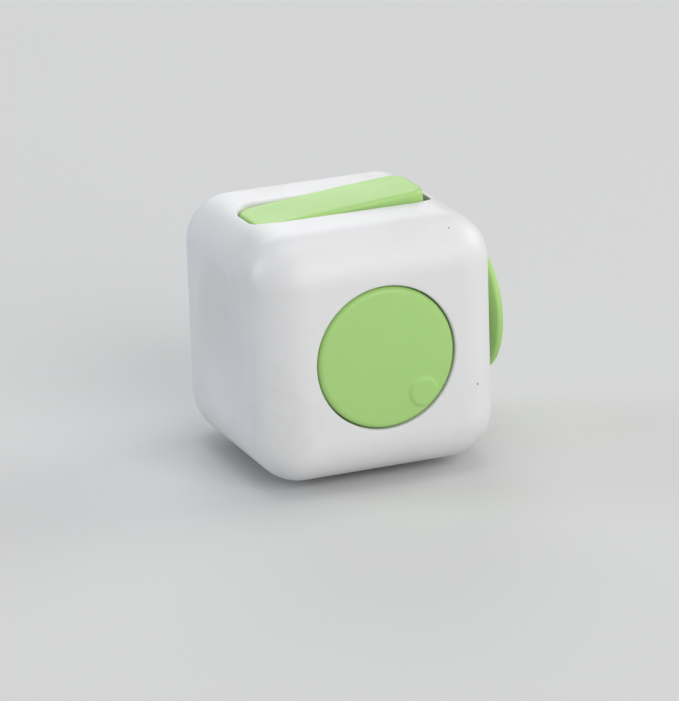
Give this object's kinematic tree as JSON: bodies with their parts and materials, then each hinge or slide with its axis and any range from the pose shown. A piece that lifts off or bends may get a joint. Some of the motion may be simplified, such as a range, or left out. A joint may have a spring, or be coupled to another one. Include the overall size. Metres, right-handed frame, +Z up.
{
  "type": "fidget cube",
  "caption": "Palm-sized rounded cube with a spin dial, flip rocker, glide pad, thumb dish, roller gears with a pressable ball, and click buttons.",
  "frame": {"origin": "centre of the middle click button's flat tip, on the surface the cube stands on, under the cube's centre", "axes": "+Z up towards the flip rocker, -Y towards the spin dial, +X towards the glide pad"},
  "size_m": [0.0364, 0.0352, 0.0354],
  "materials": {
    "white_shell": "moulded white plastic, fine satin",
    "green_plastic": "moulded light green plastic, satin",
    "bright_steel": "bright steel",
    "inner_plastic": "moulded grey plastic",
    "silicone": "soft silicone"
  },
  "bodies": {
    "housing": {"body_shell": "white_shell", "back_cover": "white_shell", "dial_bridge": "inner_plastic", "dial_bridge_screw_1": "bright_steel", "dial_bridge_screw_2": "bright_steel", "rocker_cradle": "inner_plastic", "rocker_pin": "bright_steel", "cradle_screw_1": "bright_steel", "cradle_screw_2": "bright_steel", "glide_frame": "inner_plastic", "glide_retainer": "bright_steel", "glide_return_ring": "silicone", "glide_frame_screw_1": "bright_steel", "glide_frame_screw_2": "bright_steel", "gear_axle": "bright_steel", "ball_dome": "bright_steel", "roll_frame": "inner_plastic", "roll_frame_screw_1": "bright_steel", "roll_frame_screw_2": "bright_steel", "click_dome_centre": "bright_steel", "click_dome_front_right": "bright_steel", "click_dome_back_left": "bright_steel", "silent_pad_front_left": "silicone", "silent_pad_back_right": "silicone", "click_board": "inner_plastic", "click_board_screw_1": "bright_steel", "click_board_screw_2": "bright_steel", "click_board_screw_3": "bright_steel", "click_board_screw_4": "bright_steel"},
    "dial": {"spin_dial": "green_plastic", "dial_washer": "silicone", "dial_screw": "bright_steel"},
    "rocker": {"flip_rocker": "green_plastic", "detent_spring": "bright_steel"},
    "plunger": {"detent_plunger": "bright_steel"},
    "cross_slide": {"glide_cross_slide": "inner_plastic"},
    "pad": {"glide_pad": "green_plastic", "glide_block": "inner_plastic", "glide_screw": "bright_steel"},
    "left_gear": {"gear_left": "bright_steel"},
    "middle_gear": {"gear_middle": "bright_steel"},
    "right_gear": {"gear_right": "bright_steel"},
    "cup": {"ball_cup": "inner_plastic"},
    "ball": {"roller_ball": "bright_steel"},
    "click_centre": {"button_centre": "green_plastic"},
    "click_front_left": {"button_front_left": "green_plastic"},
    "click_front_right": {"button_front_right": "green_plastic"},
    "click_back_left": {"button_back_left": "green_plastic"},
    "click_back_right": {"button_back_right": "green_plastic"}
  },
  "joints": [
    {"name": "dial_spin", "type": "hinge", "parent": "housing", "child": "dial", "pos_m": [0, -0.0165, 0.0175], "axis": [0, -1, 0], "continuous": true},
    {"name": "rocker_flip", "type": "hinge", "parent": "housing", "child": "rocker", "pos_m": [0, 0, 0.028], "axis": [0, 1, 0], "range_deg": [0, 9.6]},
    {"name": "plunger_slide", "type": "slide", "parent": "rocker", "child": "plunger", "axis": [-0.0837, 0, 0.9965], "range_m": [0, 0.0005], "stiffness_N_per_m": 800, "springref_m": -0.0003, "deforming": ["detent_spring"]},
    {"name": "glide_across", "type": "slide", "parent": "housing", "child": "cross_slide", "axis": [0, 1, 0], "range_m": [-0.0016, 0.0016], "stiffness_N_per_m": 300, "deforming": ["glide_return_ring"]},
    {"name": "glide_up", "type": "slide", "parent": "cross_slide", "child": "pad", "axis": [0, 0, 1], "range_m": [-0.0016, 0.0016], "stiffness_N_per_m": 300},
    {"name": "left_gear_roll", "type": "hinge", "parent": "housing", "child": "left_gear", "pos_m": [0.0052, 0.0135, 0.022], "axis": [1, 0, 0], "continuous": true},
    {"name": "middle_gear_roll", "type": "hinge", "parent": "housing", "child": "middle_gear", "pos_m": [0, 0.0135, 0.022], "axis": [1, 0, 0], "continuous": true},
    {"name": "right_gear_roll", "type": "hinge", "parent": "housing", "child": "right_gear", "pos_m": [-0.0052, 0.0135, 0.022], "axis": [1, 0, 0], "continuous": true},
    {"name": "ball_press", "type": "slide", "parent": "housing", "child": "cup", "axis": [0, -1, 0], "range_m": [0, 0.0007], "stiffness_N_per_m": 600, "springref_m": -0.0001, "deforming": ["ball_dome"]},
    {"name": "ball_roll", "type": "hinge", "parent": "cup", "child": "ball", "pos_m": [0, 0.0144, 0.0115], "axis": [1, 0, 0], "continuous": true},
    {"name": "press_centre", "type": "slide", "parent": "housing", "child": "click_centre", "axis": [0, 0, 1], "range_m": [0, 0.0009], "stiffness_N_per_m": 600, "springref_m": -0.0008, "deforming": ["click_dome_centre"]},
    {"name": "press_front_left", "type": "slide", "parent": "housing", "child": "click_front_left", "axis": [0, 0, 1], "range_m": [0, 0.0009], "stiffness_N_per_m": 600, "springref_m": -0.0008, "deforming": ["silent_pad_front_left"]},
    {"name": "press_front_right", "type": "slide", "parent": "housing", "child": "click_front_right", "axis": [0, 0, 1], "range_m": [0, 0.0009], "stiffness_N_per_m": 600, "springref_m": -0.0008, "deforming": ["click_dome_front_right"]},
    {"name": "press_back_left", "type": "slide", "parent": "housing", "child": "click_back_left", "axis": [0, 0, 1], "range_m": [0, 0.0009], "stiffness_N_per_m": 600, "springref_m": -0.0008, "deforming": ["click_dome_back_left"]},
    {"name": "press_back_right", "type": "slide", "parent": "housing", "child": "click_back_right", "axis": [0, 0, 1], "range_m": [0, 0.0009], "stiffness_N_per_m": 600, "springref_m": -0.0008, "deforming": ["silent_pad_back_right"]}
  ]
}
